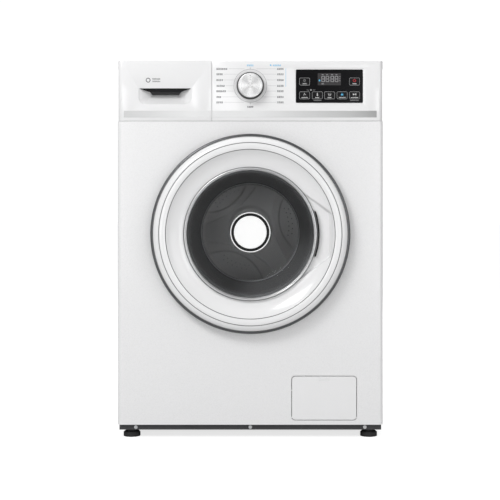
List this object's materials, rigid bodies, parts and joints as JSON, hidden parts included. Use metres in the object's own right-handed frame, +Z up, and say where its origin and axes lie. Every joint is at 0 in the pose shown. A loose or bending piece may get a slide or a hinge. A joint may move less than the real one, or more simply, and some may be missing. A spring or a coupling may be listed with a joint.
{
  "type": "front load washing machine",
  "caption": "Front loading washing machine with a round glass door, detergent drawer, programme knob, push keys, sprung tub, spinning drum and levelling feet.",
  "frame": {"origin": "on the floor, under the middle of the overall box", "axes": "+Z up; the door faces -Y; +X to the right as seen from the front"},
  "size_m": [0.595, 0.52, 0.845],
  "materials": {
    "enamel_white": "gloss",
    "panel_grey": "satin",
    "top_white": "satin",
    "fascia_white": "gloss",
    "base_dark": "matte",
    "silver_trim": "satin",
    "display_black": "gloss",
    "key_black": "gloss",
    "knob_body": "satin",
    "knob_metal": "satin",
    "tray_plastic": "satin",
    "door_white": "gloss",
    "bezel_dark": "satin",
    "door_grey": "satin",
    "bowl_glass": "polished",
    "bright_trim": "polished",
    "badge_white": "gloss",
    "steel": "satin",
    "lever_black": "satin",
    "gasket_rubber": "matte",
    "tub_plastic": "matte",
    "concrete": "matte",
    "pump_plastic": "matte",
    "filter_plastic": "satin",
    "motor_metal": "satin",
    "drum_steel": "satin",
    "pulley_metal": "satin",
    "belt_rubber": "matte",
    "foot_rubber": "matte",
    "valve_plastic": "satin",
    "fitting_dark": "satin"
  },
  "bodies": {
    "cabinet": {"left_side_panel": "enamel_white", "right_side_panel": "enamel_white", "front_panel": "enamel_white", "rear_panel": "panel_grey", "rear_service_cover": "panel_grey", "worktop": "top_white", "base_frame": "base_dark", "water_inlet_valve": "valve_plastic", "drain_outlet": "fitting_dark", "cord_gland": "fitting_dark", "transit_bolt_caps": "fitting_dark", "cabinet_screws": "steel", "control_fascia": "fascia_white", "fascia_trim_strip": "silver_trim", "display_window": "display_black", "dispenser_housing": "tray_plastic", "hinge_bracket": "steel", "door_lock": "fitting_dark", "door_gasket": "gasket_rubber", "drain_pump": "pump_plastic", "suspension_springs": "steel", "damper_cylinders": "base_dark"},
    "drawer": {"drawer_front": "fascia_white", "drawer_tray": "tray_plastic", "drawer_trim_strip": "silver_trim"},
    "knob": {"programme_knob": "knob_body", "knob_face": "knob_metal"},
    "door": {"door_outer_ring": "door_white", "door_bezel_ring": "bezel_dark", "door_inner_frame": "door_grey", "door_glass": "bowl_glass", "glass_trim_ring": "bright_trim", "door_badge": "badge_white", "hinge_arm": "steel"},
    "lever": {"door_handle": "lever_black"},
    "hook": {"latch_hook": "steel"},
    "flap": {"filter_flap": "fascia_white"},
    "filter": {"drain_filter": "filter_plastic"},
    "tub": {"tub_front": "tub_plastic", "tub_rear": "tub_plastic", "counterweights": "concrete", "drive_motor": "motor_metal", "damper_rods": "steel", "drive_belt": "belt_rubber"},
    "drum": {"drum_shell": "drum_steel", "drum_back": "drum_steel", "drum_lifters": "tray_plastic", "drum_pulley": "pulley_metal"},
    "motor_rotor": {"motor_pulley": "pulley_metal"},
    "key_timer_body": {"key_timer": "key_black"},
    "key_power_body": {"key_power": "key_black"},
    "key_temperature_body": {"key_temperature": "key_black"},
    "key_spin_body": {"key_spin": "key_black"},
    "key_rinse_body": {"key_rinse": "key_black"},
    "key_child_lock_body": {"key_child_lock": "key_black"},
    "key_start_pause_body": {"key_start_pause": "key_black"},
    "foot_front_left_body": {"foot_front_left": "foot_rubber"},
    "foot_front_right_body": {"foot_front_right": "foot_rubber"},
    "foot_rear_left_body": {"foot_rear_left": "foot_rubber"},
    "foot_rear_right_body": {"foot_rear_right": "foot_rubber"}
  },
  "joints": [
    {"name": "drawer_slide", "type": "slide", "parent": "cabinet", "child": "drawer", "axis": [0, -1, 0], "range_m": [0, 0.2]},
    {"name": "knob_turn", "type": "hinge", "parent": "cabinet", "child": "knob", "pos_m": [0, -0.222, 0.789], "axis": [0, -1, 0], "continuous": true},
    {"name": "key_timer_press", "type": "slide", "parent": "cabinet", "child": "key_timer_body", "axis": [0, 1, 0], "range_m": [0, 0.001], "stiffness_N_per_m": 800},
    {"name": "key_power_press", "type": "slide", "parent": "cabinet", "child": "key_power_body", "axis": [0, 1, 0], "range_m": [0, 0.001], "stiffness_N_per_m": 800},
    {"name": "key_temperature_press", "type": "slide", "parent": "cabinet", "child": "key_temperature_body", "axis": [0, 1, 0], "range_m": [0, 0.001], "stiffness_N_per_m": 800},
    {"name": "key_spin_press", "type": "slide", "parent": "cabinet", "child": "key_spin_body", "axis": [0, 1, 0], "range_m": [0, 0.001], "stiffness_N_per_m": 800},
    {"name": "key_rinse_press", "type": "slide", "parent": "cabinet", "child": "key_rinse_body", "axis": [0, 1, 0], "range_m": [0, 0.001], "stiffness_N_per_m": 800},
    {"name": "key_child_lock_press", "type": "slide", "parent": "cabinet", "child": "key_child_lock_body", "axis": [0, 1, 0], "range_m": [0, 0.001], "stiffness_N_per_m": 800},
    {"name": "key_start_pause_press", "type": "slide", "parent": "cabinet", "child": "key_start_pause_body", "axis": [0, 1, 0], "range_m": [0, 0.001], "stiffness_N_per_m": 800},
    {"name": "door_swing", "type": "hinge", "parent": "cabinet", "child": "door", "pos_m": [-0.2, -0.246, 0.458], "axis": [0, 0, -1], "range_deg": [0, 100]},
    {"name": "lever_pull", "type": "hinge", "parent": "door", "child": "lever", "pos_m": [0.152, -0.234, 0.458], "axis": [0, 0, -1], "range_deg": [0, 8], "stiffness_Nm_per_rad": 0.5},
    {"name": "hook_turn", "type": "hinge", "parent": "door", "child": "hook", "pos_m": [0.194, -0.236, 0.458], "axis": [0, 0, 1], "range_deg": [0, 10.5]},
    {"name": "flap_swing", "type": "hinge", "parent": "cabinet", "child": "flap", "pos_m": [0.1655, -0.2195, 0.0455], "axis": [1, 0, 0], "range_deg": [0, 95]},
    {"name": "filter_turn", "type": "hinge", "parent": "cabinet", "child": "filter", "pos_m": [0.165, -0.2, 0.088], "axis": [0, -1, 0], "range_deg": [-90, 0]},
    {"name": "tub_bounce", "type": "slide", "parent": "cabinet", "child": "tub", "axis": [0, 0, 1], "range_m": [-0.008, 0.008], "stiffness_N_per_m": 12000, "springref_m": 0.02929, "deforming": ["door_gasket", "suspension_springs"]},
    {"name": "drum_spin", "type": "hinge", "parent": "tub", "child": "drum", "pos_m": [0, 0, 0.458], "axis": [0, -1, 0], "continuous": true},
    {"name": "motor_spin", "type": "hinge", "parent": "tub", "child": "motor_rotor", "pos_m": [0, 0.19, 0.128], "axis": [0, -1, 0], "continuous": true},
    {"name": "foot_front_left_screw", "type": "slide", "parent": "cabinet", "child": "foot_front_left_body", "axis": [0, 0, -1], "range_m": [0, 0.012]},
    {"name": "foot_front_right_screw", "type": "slide", "parent": "cabinet", "child": "foot_front_right_body", "axis": [0, 0, -1], "range_m": [0, 0.012]},
    {"name": "foot_rear_left_screw", "type": "slide", "parent": "cabinet", "child": "foot_rear_left_body", "axis": [0, 0, -1], "range_m": [0, 0.012]},
    {"name": "foot_rear_right_screw", "type": "slide", "parent": "cabinet", "child": "foot_rear_right_body", "axis": [0, 0, -1], "range_m": [0, 0.012]}
  ],
  "couplings": [
    {"joint": "hook_turn", "follows": "lever_pull", "ratio": 1.25},
    {"joint": "motor_spin", "follows": "drum_spin", "ratio": 10}
  ]
}
